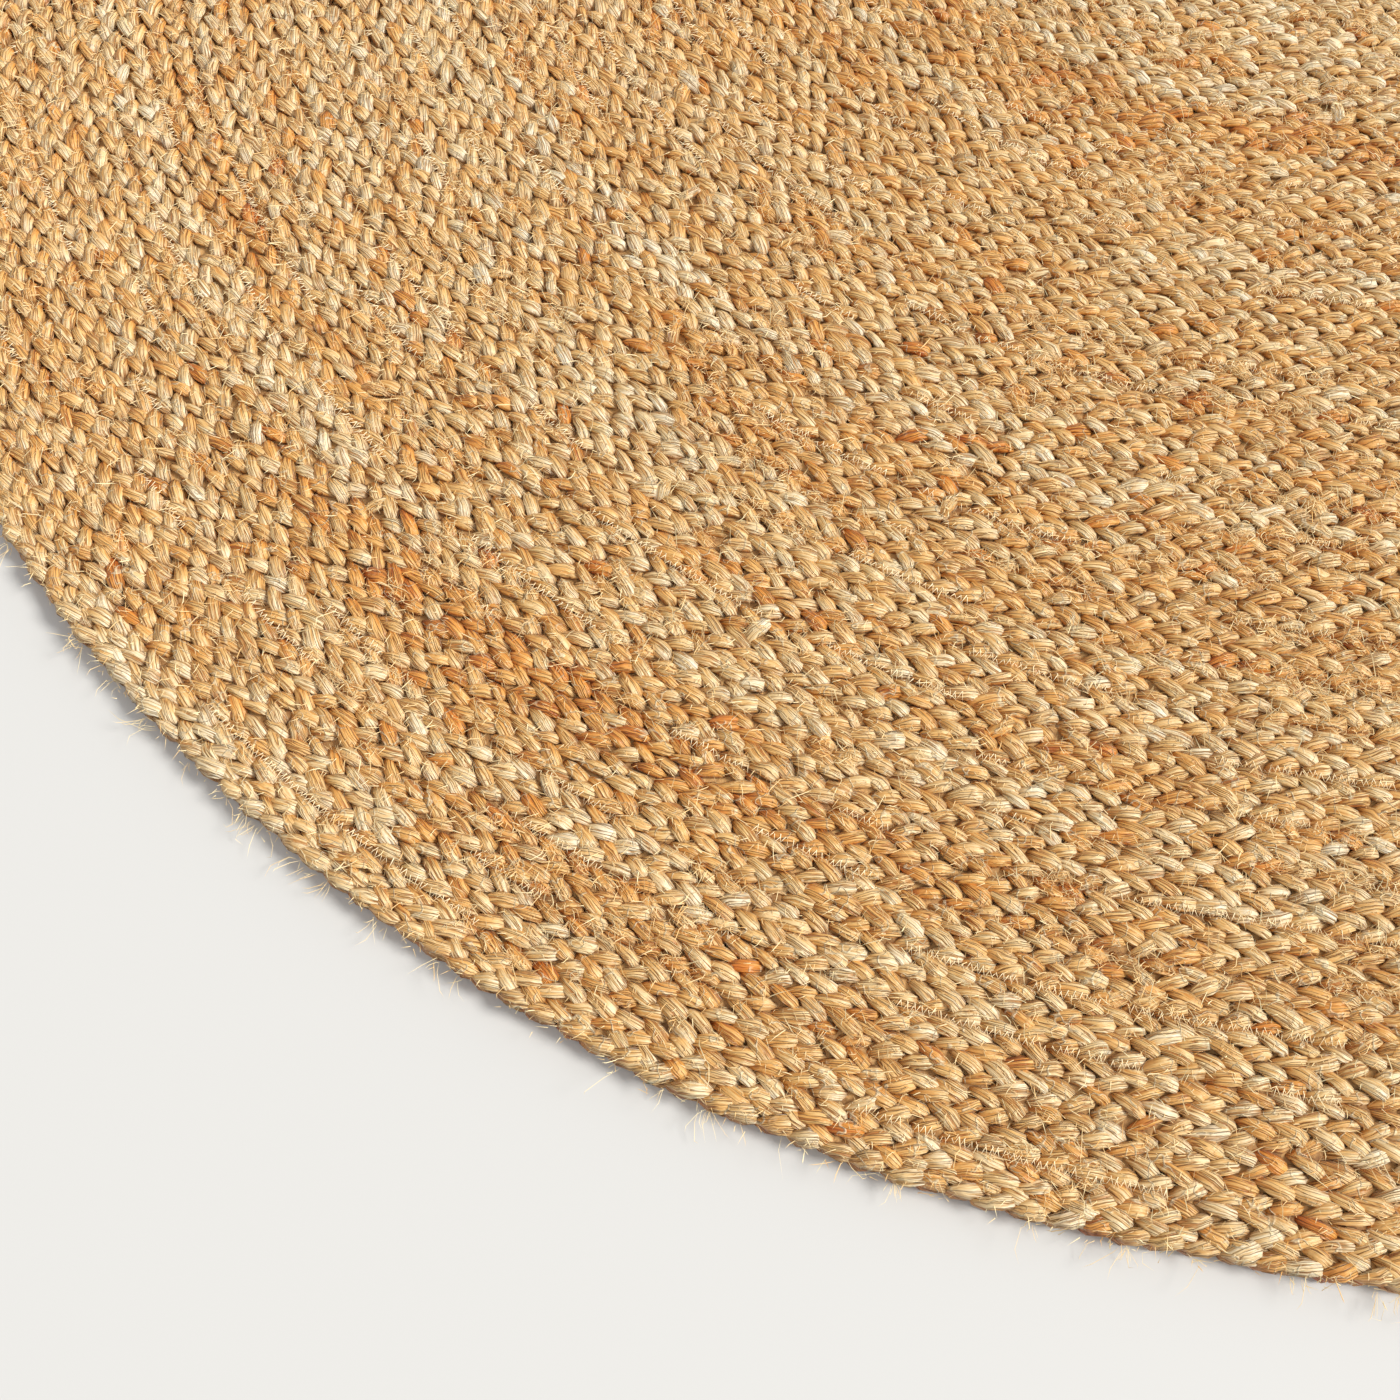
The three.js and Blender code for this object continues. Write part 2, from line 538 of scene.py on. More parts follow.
# %% Shape many lobes at once
def shaped_lobes(shape, chosen, underside=False):
    """World points and fibre coordinates of the chosen lobes."""
    points = shape[0]
    t = points[:, 0]
    mirror = 1 if underside else -1
    sideways = mirror * points[:, 1]
    upward = points[:, 2]
    own = {key: lobes[key][chosen][:, None] for key in lobes}

    along_strand = t * own["length"] / 2
    across_strand = sideways * own["width"] / 2
    along = own["along"] + own["shift_along"]
    along = along + along_strand * np.cos(own["turn"]) - across_strand * np.sin(own["turn"])
    out = own["out"] + own["shift_out"]
    out = out + along_strand * np.sin(own["turn"]) + across_strand * np.cos(own["turn"])
    up = thickness - lobe_height / 2 + own["shift_up"] + own["roll"] * across_strand
    up = up + np.where(upward > 0, upward, lobe_belly * upward) * own["height"] / 2 - sink_along(t)
    up = up - groove_sink * np.clip(np.abs(out) / (plait_width / 2), 0, groove_limit) ** groove_power

    # An uneven, hand-twisted skin. The tips stay where they are, under the neighbours.
    uneven = vary.normal(0, skin_unevenness, (len(chosen), len(points), 3)) * ~at_tip(points)[:, None]
    uneven = uneven * (1 + fray_unevenness * frayed[chosen][:, None, None])
    along = along + uneven[:, :, 0]
    out = out + uneven[:, :, 1]
    up = up + uneven[:, :, 2]

    # Round the outer rim a strand turns down with the edge of the plait.
    turn = np.clip((out - rim_start) / rim_radius, 0, rim_wrap) * rim_lobe[chosen][:, None]
    above = up - thickness / 2
    out = np.where(turn > 0, rim_start + above * np.sin(turn), out)
    up = np.where(turn > 0, thickness / 2 + above * np.cos(turn), up)
    if underside:
        up = np.maximum(thickness - up, 0.0)

    fibre = np.stack([along_strand + np.zeros_like(out), across_strand], axis=-1)
    fibre = fibre + vary.uniform(0, 1, (len(chosen), 1, 2))  # so that no two lobes have the same streaks
    return lay(along, out, up), fibre


# %% [markdown]
# Every piece of the rug but its bed is a joined mesh, made from one shape and many places. The helper
# below builds such a mesh from arrays. It keeps each copy's tone, and for the strands also the place from
# tail to head and the redness, in a colour attribute that the materials read.

# %% Join many copies into one mesh
def joined_copies(name, faces, placed, colours, fibre=None, smooth=False):
    """One object from copies of a shape. placed and colours are (copies, points of the shape, 3)."""
    count, per_copy = placed.shape[:2]
    corners = np.concatenate([np.array(face) for face in faces])
    sizes = np.array([len(face) for face in faces])
    all_corners = (corners[None, :] + per_copy * np.arange(count)[:, None]).ravel()
    all_sizes = np.tile(sizes, count)
    starts = np.concatenate([[0], np.cumsum(all_sizes)[:-1]])

    mesh = bpy.data.meshes.new(name)
    mesh.vertices.add(count * per_copy)
    mesh.vertices.foreach_set("co", placed.reshape(-1).astype(np.float32))
    mesh.loops.add(len(all_corners))
    mesh.loops.foreach_set("vertex_index", all_corners.astype(np.int32))
    mesh.polygons.add(len(all_sizes))
    mesh.polygons.foreach_set("loop_start", starts.astype(np.int32))
    mesh.polygons.foreach_set("use_smooth", np.full(len(all_sizes), smooth))
    mesh.update(calc_edges=True)

    if fibre is not None:
        fibre_map = mesh.uv_layers.new(name="fibre")
        fibre_map.data.foreach_set("uv", fibre.reshape(-1, 2)[all_corners].ravel().astype(np.float32))
    shade = mesh.attributes.new("strand_tone", "FLOAT_COLOR", "POINT")
    values = np.ones((count, per_copy, 4), dtype=np.float32)
    values[:, :, :3] = colours
    shade.data.foreach_set("color", values.ravel())

    piece = bpy.data.objects.new(name, mesh)
    bpy.context.scene.collection.objects.link(piece)
    print(name, "copies", count, "triangles", int((all_sizes - 2).sum()))
    return piece


# %% [markdown]
# In that attribute the strands keep their tone as red, their redness as blue, and as green the place from
# 0 at the tail to 1 at the head.

# %% A piece made of lobes
def strands(name, shape, chosen, underside=False, smooth=True):
    """The chosen lobes as one piece."""
    placed, fibre = shaped_lobes(shape, chosen, underside)
    colours = np.zeros(placed.shape)
    colours[:, :, 0] = tone[chosen][:, None]
    colours[:, :, 1] = (shape[0][:, 0] + 1) / 2
    colours[:, :, 2] = redness[chosen][:, None]
    return joined_copies(name, shape[1], placed, colours, fibre, smooth)


# %% [markdown]
# The lobes in view are made from the ball and split into two pieces, so that neither is too heavy to
# edit. The others are made from the cone, in three pieces. Their flat faces keep crisp edges, because
# smooth shading would round each one into its dark sides. The rim shows in outline from far off, so its
# lobes are all fine.

# %% Make the strands
near_lobes = np.flatnonzero(near)
far_lobes = np.flatnonzero(~near & ~rim_lobe)
far_rim = np.flatnonzero(~near & rim_lobe)

close_strands = []
for part in np.array_split(near_lobes, 2):
    close_strands.append(strands(f"strands_close_{len(close_strands) + 1}", fine_lobe, part))
other_strands = []
for part in np.array_split(far_lobes, 3):
    other_strands.append(strands(f"strands_{len(other_strands) + 1}", plain_lobe, part, smooth=False))
rim_strands = strands("strands_rim", fine_lobe, far_rim)
under_rim = strands("strands_under_rim", fine_lobe, np.flatnonzero(rim_lobe), underside=True)

# %% [markdown]
# ## Loose fibres
#
# Jute is hairy: short fibres stand out of every strand, and most of all along the seams, where the sewing
# machine has pulled at them. Most are straight and a few millimetres long, and the longer ones curl.
# Those on top start on the plait's surface, whose height is found by casting a ray down onto the strands.

# %% Find the top of the plait
ray_start = 5 * thickness


def top_of_plait(places):
    """The same places with their height set to the top of the close strands, or half way up elsewhere."""
    placed = places.copy()
    placed[:, 2] = thickness / 2
    for place in placed:
        for piece in close_strands:
            hit, spot, _, _ = piece.ray_cast((place[0], place[1], ray_start), (0, 0, -1))
            if hit:
                place[2] = max(place[2], spot[2])
    return placed


# %% [markdown]
# A fibre is one of the small shapes, stretched along a line from its start to its end. If it is curled,
# the line bulges half way. The two directions across the line come from cross products with the way up.

# %% Shape the fibres
up_way = np.array([0.0, 0.0, 1.0])
too_short = 1e-9  # keeps a direction of no length from being divided by zero


def fibre_points(shape, start, bow, end, thick):
    """Copies of a shape stretched from start to end, bulging by bow half way. Each is (count, 3)."""
    points = shape[0]
    share = ((points[:, 0] + 1) / 2)[None, :, None]
    start, bow, end = (value[:, None, :] for value in (start, bow, end))
    path = start + (end - start) * share + 4 * bow * share * (1 - share)
    heading = end - start + 4 * bow * (1 - 2 * share)
    side = np.cross(up_way, heading)
    side /= np.linalg.norm(side, axis=2, keepdims=True) + too_short
    other = np.cross(heading, side)
    other /= np.linalg.norm(other, axis=2, keepdims=True) + too_short
    thick = thick[:, None, None]
    return path + thick * (side * points[None, :, 1:2] + other * points[None, :, 2:3])


def fibres(name, shape, start, bow, end, thick, tones):
    """A piece made of loose fibres."""
    placed = fibre_points(shape, start, bow, end, thick)
    colours = np.repeat(np.repeat(tones[:, None, None], placed.shape[1], axis=1), 3, axis=2)
    return joined_copies(name, shape[1], placed, colours)


# %% [markdown]
# Each short fibre starts on a lobe in view, drawn at random. The two columns by the seams are drawn twice
# as often as the others, and frayed lobes oftener still. A fibre lies roughly along its strand, with its
# free end raised, and the curled ones bulge as well.

# %% How short fibres lie
seam_weight = 1.0
inner_weight = 0.5
frayed_weight = 3.0
root_spread = (2.8 * mm, 1.6 * mm)  # along and across the lobe
fibre_shortest = 1.4 * mm
fibre_longest = 12 * mm
fibre_thickness = (0.12 * mm, 0.19 * mm)  # half of it, at the thickest place
fibre_rise = (0.15, 0.7)  # how far the free end is raised, as a share of the fibre's length
length_spread = 0.4  # of the logarithm of the length
heading_spread = 1.1  # radians
reversed_share = 0.4  # of the fibres point against the plait
root_sink = 0.1 * mm
own_tone = (0.5, 0.25)  # a fibre's own part of its tone, and its spread
lobe_tone_share = 0.4  # how much of its lobe's tone it has besides
hairs = np.random.default_rng(23)
print("short fibres from", round(fibre_shortest / mm, 1), "to", round(fibre_longest / mm, 1), "mm long")


# %% [markdown]
# One fibre in five is longer and curls, and the others are straight spikes.

# %% Short fibres
def short_fibres(name, shape, count, typical, curl):
    """Fibres that start on the lobes in view and lie roughly along them."""
    weights = np.where(by_seam[near_lobes], seam_weight, inner_weight) + frayed_weight * frayed[near_lobes]
    home = hairs.choice(near_lobes, count, p=weights / weights.sum())
    along = lobes["along"][home] + hairs.normal(0, root_spread[0], count)
    out = lobes["out"][home] + hairs.normal(0, root_spread[1], count)
    length = hairs.lognormal(math.log(typical), length_spread, count)
    length = np.clip(length, fibre_shortest, fibre_longest)
    heading = lobes["turn"][home] + hairs.normal(0, heading_spread, count)
    heading += math.pi * (hairs.random(count) < reversed_share)
    start = top_of_plait(lay(along, out, thickness))
    end = top_of_plait(lay(along + length * np.cos(heading), out + length * np.sin(heading), thickness))
    start[:, 2] -= root_sink
    end[:, 2] = np.maximum(start[:, 2], end[:, 2]) + hairs.uniform(*fibre_rise, count) * length
    bow = hairs.normal(0, 1, (count, 3)) * length[:, None] * curl
    bow[:, 2] = np.abs(bow[:, 2])
    thick = hairs.uniform(*fibre_thickness, count)
    tones = own_tone[0] + lobe_tone_share * tone[home] + hairs.normal(0, own_tone[1], count)
    tones = np.clip(tones, 0, 1)
    return fibres(name, shape, start, bow, end, thick, tones)


straight_fibres = short_fibres("straight_fibres", spike, count=36000, typical=2.4 * mm, curl=0.0)
curled_fibres = short_fibres("curled_fibres", coarse_ball, count=9000, typical=4.0 * mm, curl=0.16)

# %% [markdown]
# Where a strand was knotted on to the one before, a tuft of fibre ends stands up.

# %% Tufts
tuft_size = 16  # fibres
tuft_spread = (1.5 * mm, 1.2 * mm)  # along and across the plait
tuft_length = (1.2 * mm, 3.2 * mm)  # of a fibre whose random direction has length 1
tuft_rise = 0.5  # how much of that direction's height is kept
tuft_curl = 0.6 * mm
tuft_thickness = (0.12 * mm, 0.2 * mm)
tuft_tone = (0.2, 1.0)

tuft_home = np.repeat(np.flatnonzero(knotted & near), tuft_size)
tuft_count = len(tuft_home)
tuft_along = lobes["along"][tuft_home] + hairs.normal(0, tuft_spread[0], tuft_count)
tuft_out = lobes["out"][tuft_home] + hairs.normal(0, tuft_spread[1], tuft_count)
tuft_start = top_of_plait(lay(tuft_along, tuft_out, thickness))
tuft_way = hairs.normal(0, 1, (tuft_count, 3))
tuft_way[:, 2] = np.abs(tuft_way[:, 2]) * tuft_rise
tuft_reach = tuft_way * hairs.uniform(*tuft_length, (tuft_count, 1))
tuft_bow = hairs.normal(0, tuft_curl, (tuft_count, 3))
tuft_thick = hairs.uniform(*tuft_thickness, tuft_count)
tuft_tones = hairs.uniform(*tuft_tone, tuft_count)
tufts = fibres("tufts", coarse_ball, tuft_start, tuft_bow, tuft_start + tuft_reach, tuft_thick, tuft_tones)

# %% [markdown]
# Longer fibres hang off the outer rim, most of them single and some in tufts of up to six. These whiskers
# leave the rim at half its height or so, and stay between the floor and a little above the plait.

# %% How whiskers lie
whisker_spots = 60
spot_spread = 3 * mm  # of a spot from its lobe, along the rim
whiskers_in_a_spot = [1, 1, 1, 2, 3, 6]  # one of these for each spot
whisker_spread = 0.6 * mm  # of the whiskers of one spot
whisker_heights = (0.35, 0.8)  # where they leave the rim, as a share of the thickness
whisker_out = 0.44 * plait_width  # where they start, a little inside the rim
whisker_length = (3 * mm, 12 * mm)
outward_share = (0.4, 1.0)  # how much of its length goes outwards
sideways_share = 0.5  # how much goes along the rim, one way or the other
droop = 2.5 * mm  # how far its end rises or falls
lowest_end, highest_end = 0.4 * mm, 1.3 * thickness
whisker_curl = 0.2  # as a share of its length
curl_ways = (1, 1, 0.4)  # how much of that in X, Y and Z
whisker_thickness = (0.07 * mm, 0.11 * mm)
whisker_tone = (0.5, 1.0)
print("whiskers from", round(whisker_length[0] / mm, 1), "to", round(whisker_length[1] / mm, 1), "mm long")

# %% [markdown]
# A whisker runs from a place on the rim to a place out beyond it. Both places are given by how far along
# the plait they lie, how far out, and how high.

# %% Whiskers on the rim
rim_along = lobes["along"][rim_lobe & near]
spot_along = hairs.choice(rim_along, whisker_spots) + hairs.normal(0, spot_spread, whisker_spots)
per_spot = hairs.choice(whiskers_in_a_spot, whisker_spots)
whisker_along = np.repeat(spot_along, per_spot) + hairs.normal(0, whisker_spread, per_spot.sum())
whisker_count = len(whisker_along)
whisker_height = hairs.uniform(*whisker_heights, whisker_count) * thickness
whisker_start = lay(whisker_along, whisker_out, whisker_height)
whisker_reach = hairs.uniform(*whisker_length, whisker_count)
along_end = whisker_along + hairs.normal(0, sideways_share, whisker_count) * whisker_reach
out_end = plait_width / 2 + whisker_reach * hairs.uniform(*outward_share, whisker_count)
height_end = whisker_height + hairs.normal(0, droop, whisker_count)
whisker_end = lay(along_end, out_end, np.clip(height_end, lowest_end, highest_end))
whisker_bow = hairs.normal(0, whisker_curl, (whisker_count, 3)) * whisker_reach[:, None] * curl_ways
whisker_thick = hairs.uniform(*whisker_thickness, whisker_count)
whisker_tones = hairs.uniform(*whisker_tone, whisker_count)
whiskers = fibres(
    "whiskers", coarse_ball, whisker_start, whisker_bow, whisker_end, whisker_thick, whisker_tones
)

# %% [markdown]
# ## The seam
#
# A zigzag stitch catches the edge of one round and the edge of the next. The thread sinks in and shows
# only in stretches. Each leg of the zigzag is a spike that leans the other way from the last, so two make
# a V, and it bridges the groove between the rounds from the top of one to the top of the other.

# %% Sew the rounds together
stitch_step = 1.0 * mm  # from one leg to the next
stitch_reach = 1.6 * mm  # each way from the seam
stitch_jitter = 0.2 * mm  # along the seam
leg_shares = (0.4, 1.3)  # how much of its reach a leg has on either side
leg_rise = (0.3 * mm, 0.9 * mm)  # how far it bridges over the strands at its outer end
leg_thickness = (0.16 * mm, 0.22 * mm)  # half of it
leg_tone = (0.5, 1.0)
showing_level = 0.5  # the thread shows where a wandering value is above this
seam_out = plait_width / 2  # from the plait's middle line

leg_along = np.arange(0, last_round, stitch_step)
leg_swing = np.where(np.arange(len(leg_along)) % 2 == 0, 1.0, -1.0)
showing = wandering(leg_along, patch_length, 1.0) > showing_level
modelled = showing & seen_closely(lay(leg_along, seam_out, thickness))
leg_along = leg_along[modelled]
leg_swing = leg_swing[modelled] * stitch_step / 2
leg_count = len(leg_along)
leg_along += hairs.normal(0, stitch_jitter, leg_count)
leg_reach = stitch_reach * hairs.uniform(*leg_shares, (2, leg_count))
leg_start = top_of_plait(lay(leg_along - leg_swing, seam_out - leg_reach[0], thickness))
leg_end = top_of_plait(lay(leg_along + leg_swing, seam_out + leg_reach[1], thickness))
leg_end[:, 2] += hairs.uniform(*leg_rise, leg_count)
leg_thick = hairs.uniform(*leg_thickness, leg_count)
leg_tones = hairs.uniform(*leg_tone, leg_count)
no_bow = np.zeros((leg_count, 3))
sewing_thread = fibres("sewing_thread", spike, leg_start, no_bow, leg_end, leg_thick, leg_tones)

# %% [markdown]
# ## The bed
#
# Between and under the lobes are the hidden parts of the strands. They are made as one plain slab, a
# little lower and smaller than the rug, with the coil as relief in its material. It starts as a disc with
# as many corners as the outline needs. The corners are moved onto the outermost row, then the disc is
# extruded.

# %% The bed under the lobes
bed_height = 6.0 * mm
bed_inset = 3.5 * mm  # from the rim
bed_corners = 240
outline_along = np.linspace(rim_start_along, lobes_end, bed_corners)
outline = lay(outline_along, plait_width / 2 - bed_inset, 0.0)

bpy.ops.object.select_all(action="DESELECT")
bpy.ops.mesh.primitive_circle_add(vertices=bed_corners, radius=1, fill_type="NGON")
bed = bpy.context.object
bed.name = "plait_bed"
bed.data.vertices.foreach_set("co", outline.ravel())
bpy.ops.object.mode_set(mode="EDIT")
bpy.ops.mesh.select_all(action="SELECT")
bpy.ops.mesh.extrude_region_move(TRANSFORM_OT_translate={"value": (0, 0, bed_height)})
bpy.ops.mesh.select_all(action="SELECT")
bpy.ops.mesh.normals_make_consistent(inside=False)
bpy.ops.object.mode_set(mode="OBJECT")
print("bed", [round(v, 4) for v in bed.dimensions])

# %% [markdown]
# ## Materials
#
# Every material is a small tree of nodes. Built by hand, such a tree takes the same few steps over and
# over, so each step has a helper: one that adds any node and fills its sockets with a value or a link,
# and short ones for sums, for noise and for moving a value to another range.

# %% Node helpers
def node(tree, kind, inputs=None, **properties):
    """Adds a node. inputs gives sockets a value, or an output socket to link from."""
    made = tree.nodes.new("ShaderNode" + kind)
    for key, value in properties.items():
        setattr(made, key, value)
    for key, value in (inputs or {}).items():
        if isinstance(value, bpy.types.NodeSocket):
            tree.links.new(value, made.inputs[key])
        else:
            made.inputs[key].default_value = value
    return made


def worked(tree, operation, *values, clamp=False):
    """The result of a Math node."""
    made = node(tree, "Math", dict(enumerate(values)), operation=operation, use_clamp=clamp)
    return made.outputs["Value"]


def moved(tree, value, start, end, low=0.0, high=1.0):
    """A value moved from the range between start and end to the range between low and high."""
    sockets = {"Value": value, "From Min": start, "From Max": end, "To Min": low, "To Max": high}
    return node(tree, "MapRange", sockets).outputs["Result"]


def noise(tree, at, scale, detail):
    """Noise of one scale, or of a scale for each axis."""
    if isinstance(scale, tuple):
        at = node(tree, "Mapping", {"Vector": at, "Scale": scale}).outputs["Vector"]
        scale = 1.0
    return node(tree, "TexNoise", {"Vector": at, "Scale": scale, "Detail": detail}).outputs["Fac"]


# %% [markdown]
# Colours have helpers of their own: a ramp, a mix, a new material, and one that dresses a shader with its
# colour, its roughness and its relief.

# %% Colour helpers
mix_below, mix_above, mix_result = 6, 7, 2  # where a Mix node keeps its colour sockets


def ramp_of(tree, source, stops):
    """A colour ramp with the given stops."""
    made = node(tree, "ValToRGB", {"Fac": source})
    elements = made.color_ramp.elements
    while len(elements) < len(stops):
        elements.new(0.5)
    for element, (place, colour) in zip(elements, stops):
        element.position = place
        element.color = (*colour, 1)
    return made.outputs["Color"]


def mixed(tree, blend, share, below, above):
    """Two colours mixed."""
    sockets = {"Factor": share, mix_below: below, mix_above: above}
    return node(tree, "Mix", sockets, data_type="RGBA", blend_type=blend).outputs[mix_result]


def new_material(name):
    """A material with its node tree and shader."""
    material = bpy.data.materials.new(name)
    material.use_nodes = True
    return material, material.node_tree, material.node_tree.nodes["Principled BSDF"]


def dress(tree, shader, colour, roughness, height, relief, strength=1.0):
    """Gives a shader its colour, its roughness and a bump whose relief is in metres."""
    tree.links.new(colour, shader.inputs["Base Color"])
    tree.links.new(roughness, shader.inputs["Roughness"])
    bump = node(tree, "Bump", {"Height": height, "Strength": strength, "Distance": relief})
    tree.links.new(bump.outputs["Normal"], shader.inputs["Normal"])


# %% [markdown]
# A strand of jute is a bundle of flat ribbons of bast. Noise that is stretched along the fibre map makes
# those ribbons, and finer noise makes the streaks in them. Where the ribbon noise passes its middle
# value, a crease runs between two ribbons. The same trick in plain coordinates, kept to patches, draws
# the stray fibres that lie across the strands, which would be far too many to model.

# %% Ribbons, streaks, creases and stray fibres
ribbon_scale = (45, 800, 1)  # for each metre along a strand, and across it
streak_scale = (110, 1300, 1)
stray_scale = 170
patch_scale = 110
crease_width = 0.04  # how far from the noise's middle value a crease ends
stray_width = 0.03
stray_cover = 0.75  # how much of the colour below a stray fibre hides
patch_start = 0.48  # the noise values between which a patch of stray fibres fades in
patch_full = 0.56


def from_middle(tree, value):
    """How far a noise is from its middle value."""
    off_middle = worked(tree, "SUBTRACT", value, 0.5)
    return worked(tree, "ABSOLUTE", off_middle)


def strand_patterns(tree, place):
    """The values of ribbons, streaks, creases (0 in a crease) and stray fibres (0 beside them)."""
    fibre_at = node(tree, "UVMap", uv_map="fibre").outputs["UV"]
    ribbons = noise(tree, fibre_at, ribbon_scale, 1)
    streaks = noise(tree, fibre_at, streak_scale, 3)
    crease = moved(tree, from_middle(tree, ribbons), 0.0, crease_width)
    stray = noise(tree, place, stray_scale, 1)
    line = moved(tree, from_middle(tree, stray), 0.0, stray_width, stray_cover, 0.0)
    patches = moved(tree, noise(tree, place, patch_scale, 1), patch_start, patch_full)
    return ribbons, streaks, crease, worked(tree, "MULTIPLY", line, patches)


# %% [markdown]
# Each strand's tone, changed a little by its ribbons and streaks, picks a colour from a ramp that runs
# from bark brown through straw to cream. Heads are paler than tails, partly because they stand up and are
# worn clean, and partly as a painted highlight. Then four tints are laid over that colour in turn: darker
# streaks, redder strands, painted shade in the creases, and painted shade in the depths between the
# strands.

# %% Colours and tints of a strand
bark_to_cream = [
    (0.0, (0.52, 0.15, 0.02)),
    (0.14, (0.74, 0.28, 0.045)),
    (0.34, (0.83, 0.43, 0.11)),
    (0.58, (0.87, 0.57, 0.23)),
    (0.8, (0.92, 0.74, 0.45)),
    (1.0, (0.98, 0.89, 0.70)),
]
red_tints = [(0.0, (0.98, 0.99, 0.98)), (0.8, (1.0, 0.88, 0.72)), (1.0, (0.95, 0.76, 0.50))]
# Painted shade: the creases between the ribbons are darkened as if in shadow, besides their relief.
crease_shade_tints = [(0.0, (0.60, 0.36, 0.17)), (1.0, (1.0, 1.0, 1.0))]
# Painted shade: the strands are darker the lower they lie, as if in the shadow between the lobes.
depth_shade_tints = [(0.0, (0.58, 0.38, 0.21)), (1.0, (1.0, 1.0, 1.0))]
streak_tints = [(0.36, (0.80, 0.68, 0.53)), (0.54, (1.0, 1.0, 1.0))]
print("colours", len(bark_to_cream), "from bark to cream")

# %% [markdown]
# How far a strand's colour lies towards cream is a sum: its own tone, plus a share each for its head (its
# wear and a painted highlight), its ribbons and its streaks, less an offset that brings a middling strand
# back to straw.

# %% The colour of a strand
# The heads are paler partly from wear and partly as a painted highlight where they catch the light.
head_wear_and_highlight = 0.5
head_power = 1.6  # how late along a strand it turns pale
ribbon_tone = 0.4
streak_tone = 0.5
tone_offset = 0.53
# Between these two heights the painted shade of the depths fades out.
shade_darkest_at = 0.5 * thickness  # the heights between which the depth tint fades out
shade_gone_at = 0.85 * thickness


def strand_colour(tree, place, ribbons, streaks, crease):
    """The strands' colour from their tone and patterns, with a painted highlight on the heads and painted
    shade in the creases and the depths.
    """
    attribute = node(tree, "Attribute", attribute_name="strand_tone")
    split = node(tree, "SeparateColor", {"Color": attribute.outputs["Color"]})
    head_paleness = worked(tree, "POWER", split.outputs["Green"], head_power)
    worn_and_lit = worked(tree, "MULTIPLY_ADD", head_paleness, head_wear_and_highlight, split.outputs["Red"])
    ribboned = worked(tree, "MULTIPLY_ADD", ribbons, ribbon_tone, worn_and_lit)
    streaked = worked(tree, "MULTIPLY_ADD", streaks, streak_tone, ribboned)
    level = worked(tree, "SUBTRACT", streaked, tone_offset, clamp=True)
    colour = ramp_of(tree, level, bark_to_cream)

    height = node(tree, "SeparateXYZ", {"Vector": place}).outputs["Z"]
    unshaded_share = moved(tree, height, shade_darkest_at, shade_gone_at)
    tints = [
        (streaks, streak_tints),
        (split.outputs["Blue"], red_tints),
        (crease, crease_shade_tints),
        (unshaded_share, depth_shade_tints),
    ]
    for value, stops in tints:
        colour = mixed(tree, "MULTIPLY", 1.0, colour, ramp_of(tree, value, stops))
    return colour


# %% [markdown]
# The jute material puts the two together. Clean bast has a satin shine, so its roughness is low for a
# plant fibre and varies with the streaks, and a little sheen stands for the down of finer fibres that
# cannot be seen one by one. The relief comes from the streaks, the creases and the stray fibres.

# %% The jute strands
stray_colour = (1.0, 0.86, 0.58, 1)
jute_shine = {
    "Specular IOR Level": 0.65,
    "Sheen Weight": 0.12,
    "Sheen Roughness": 0.4,
    "Sheen Tint": (1.0, 0.88, 0.66, 1),
}
streak_relief = 2.2  # against 1 for a crease
jute_relief = 0.5 * mm
jute_roughness = (0.24, 0.52)


def jute_material():
    """The material of all the strands."""
    material, tree, shader = new_material("jute_strand")
    place = node(tree, "TexCoord").outputs["Object"]
    ribbons, streaks, crease, laid = strand_patterns(tree, place)
    colour = strand_colour(tree, place, ribbons, streaks, crease)
    hairy = mixed(tree, "MIX", laid, colour, stray_colour)
    satin = moved(tree, streaks, 0.0, 1.0, *jute_roughness)
    ridged = worked(tree, "MULTIPLY_ADD", streaks, streak_relief, crease)
    dress(tree, shader, hairy, satin, worked(tree, "ADD", laid, ridged), jute_relief)
    for socket, value in jute_shine.items():
        shader.inputs[socket].default_value = value
    return material


all_strands = [*close_strands, *other_strands, rim_strands, under_rim]
jute = jute_material()
for piece in all_strands:
    piece.data.materials.append(jute)
print("jute nodes", len(jute.node_tree.nodes))

# %% [markdown]
# Loose fibres are single and let some light through, so they are paler than the strands. The cotton
# thread is paler still. Both take their colour from a ramp by the tone of each fibre, with a fine mottle
# in roughness and relief.

# %% Fibres and thread
mottle_scale = 900
thread_relief = 0.05 * mm
thread_roughness = (0.4, 0.7)
thread_specular = 0.25


def thread_material(name, dark, pale):
    """A material for thin fibres, from its darkest and palest colour."""
    material, tree, shader = new_material(name)
    attribute = node(tree, "Attribute", attribute_name="strand_tone")
    split = node(tree, "SeparateColor", {"Color": attribute.outputs["Color"]})
    colour = ramp_of(tree, split.outputs["Red"], [(0.0, dark), (1.0, pale)])
    place = node(tree, "TexCoord").outputs["Object"]
    mottle = noise(tree, place, mottle_scale, 2)
    rough = moved(tree, mottle, 0.0, 1.0, *thread_roughness)
    dress(tree, shader, colour, rough, mottle, thread_relief)
    shader.inputs["Specular IOR Level"].default_value = thread_specular
    return material


all_fibres = [straight_fibres, curled_fibres, tufts, whiskers]
loose_fibre = thread_material("loose_fibre", (0.80, 0.42, 0.10), (1.0, 0.86, 0.52))
for piece in all_fibres:
    piece.data.materials.append(loose_fibre)
cotton = thread_material("cotton_thread", (0.85, 0.60, 0.32), (1.0, 0.88, 0.60))
sewing_thread.data.materials.append(cotton)
print("fibre nodes", len(loose_fibre.node_tree.nodes), "thread nodes", len(cotton.node_tree.nodes))
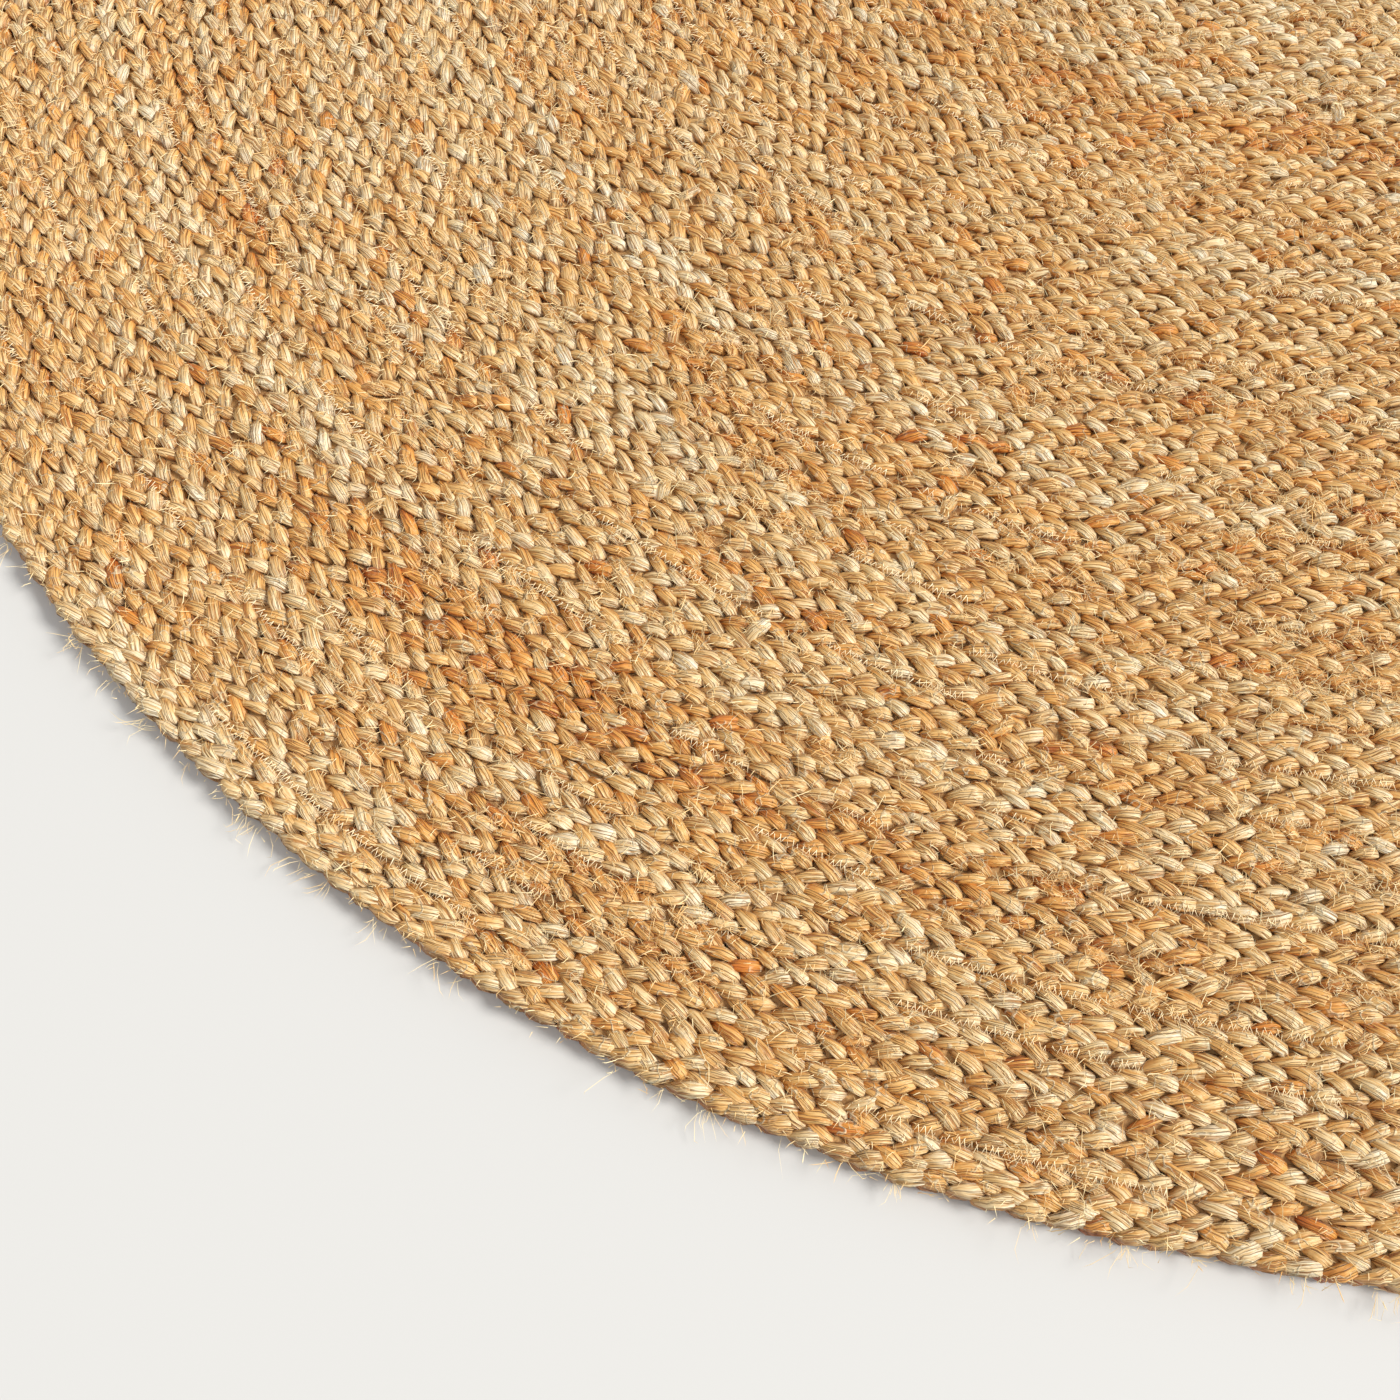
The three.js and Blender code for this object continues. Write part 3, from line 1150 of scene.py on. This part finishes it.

# %% [markdown]
# The bed has the rows of the coil in its material, so that the rug's underside and its side show them.
# How far a point lies from the first straight row tells how many rows out it is. Beyond the right end the
# half circles are centred half a row further over, so the distance is counted from there. Each row is
# high in its middle and painted pale there, and a groove runs on each side of it, painted dark as shade.

# %% The rows on the bed
def row_middle(tree, place):
    """0 on the groove between two rows, and 0.5 along the middle of a row."""
    axes = node(tree, "SeparateXYZ", {"Vector": place}).outputs
    core = node(tree, "Clamp", {"Value": axes["X"], "Min": left_centre[0], "Max": right_centre[0]})
    past_core = worked(tree, "SUBTRACT", axes["X"], core.outputs["Result"])
    at_right = worked(tree, "GREATER_THAN", past_core, 0.0)
    sideways = worked(tree, "MULTIPLY_ADD", at_right, -plait_width / 2, axes["Y"])
    from_core = node(tree, "CombineXYZ", {"X": past_core, "Y": sideways})
    distance = node(tree, "VectorMath", {0: from_core.outputs["Vector"]}, operation="LENGTH")
    rows = worked(tree, "MULTIPLY_ADD", distance.outputs["Value"], 1 / plait_width, 0.5)
    rows_there = worked(tree, "MULTIPLY_ADD", at_right, -0.5, rows)
    across = worked(tree, "PINGPONG", rows_there, 1.0)
    return worked(tree, "PINGPONG", across, 0.5)


# %% [markdown]
# The rows and a fine grain add up to one height. It is the bed's relief, and it picks the colour too:
# the grooves are painted dark as shade, and the whole bed is painted darker than the strands, as the
# hidden strands would be in shadow.

# %% The material of the bed
# Painted shade: the bed is darker than the strands and darkest in its grooves.
bed_colours_with_shade = [(0.35, (0.26, 0.12, 0.04)), (0.85, (0.74, 0.44, 0.17))]
bed_grain = (250, 250, 900)
row_height = 0.9  # against 1 for the grain
bed_relief = 2 * mm
bed_bump = 0.8  # the strength of that relief
bed_roughness = (0.65, 0.95)


def bed_material():
    """The hidden parts of the strands, with the rows of the coil, painted darker as shade."""
    material, tree, shader = new_material("plait_bed")
    place = node(tree, "TexCoord").outputs["Object"]
    mottle = noise(tree, place, bed_grain, 4)
    height = worked(tree, "MULTIPLY_ADD", row_middle(tree, place), row_height, mottle)
    rough = moved(tree, mottle, 0.0, 1.0, *bed_roughness)
    dress(tree, shader, ramp_of(tree, height, bed_colours_with_shade), rough, height, bed_relief, bed_bump)
    return material


bed.data.materials.append(bed_material())
print("bed nodes", len(bed.active_material.node_tree.nodes))

# %% [markdown]
# ## Into the frame
#
# Every piece rides the frame's one body. The bed stands in for the solid, so the frame's own rug is hidden.

# %% Tie the pieces to the frame
on_the_bed = [*all_strands, *all_fibres, sewing_thread]
for piece in [bed, *on_the_bed]:
    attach(piece, "root")
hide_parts("braided_rug")
print("pieces", 1 + len(on_the_bed))

# %% [markdown]
# ## The floor
#
# The floor is a plain pale plane just under the rug. It is wide enough that a low camera never sees its
# edge near the rug.

# %% Lay the floor
floor_size = 400.0
floor_gap = 0.3 * mm
floor_colour = (0.66, 0.66, 0.65, 1)
floor_roughness = 0.7

bpy.ops.object.select_all(action="DESELECT")
bpy.ops.mesh.primitive_plane_add(size=floor_size, location=(0, 0, -floor_gap))
floor = bpy.context.object
floor.name = "floor"
floor_material, _, floor_shader = new_material("pale_floor")
floor_shader.inputs["Base Color"].default_value = floor_colour
floor_shader.inputs["Roughness"].default_value = floor_roughness
floor.data.materials.append(floor_material)
print("floor", floor_size, "wide at", -floor_gap)

# %% [markdown]
# ## The light
#
# A white world lights the rug softly from all sides. One wide sun comes from the camera's right, low
# enough that each lobe has a lit side and a shaded one, since without that the plait would look like a
# print. It is slightly warm, and so wide that its shadows have soft edges.

# %% Light the rug
world_strength = 0.62
sun_strength = 3.1
sun_width = math.radians(20)
sun_turn = math.radians(-5)  # from the camera's right-hand side, a little back towards the camera
sun_rise = math.radians(44)  # above the floor
sun_colour = (1.0, 0.97, 0.92)

world = bpy.data.worlds.new("studio")
bpy.context.scene.world = world
world.use_nodes = True
world.node_tree.nodes["Background"].inputs["Color"].default_value = (1, 1, 1, 1)
world.node_tree.nodes["Background"].inputs["Strength"].default_value = world_strength

bpy.ops.object.light_add(type="SUN", rotation=(0, math.pi / 2 - sun_rise, view_turn + sun_turn))
sun = bpy.context.object
sun.name = "sun"
sun.data.energy = sun_strength
sun.data.angle = sun_width
sun.data.color = sun_colour

bpy.context.scene.view_settings.view_transform = "Standard"
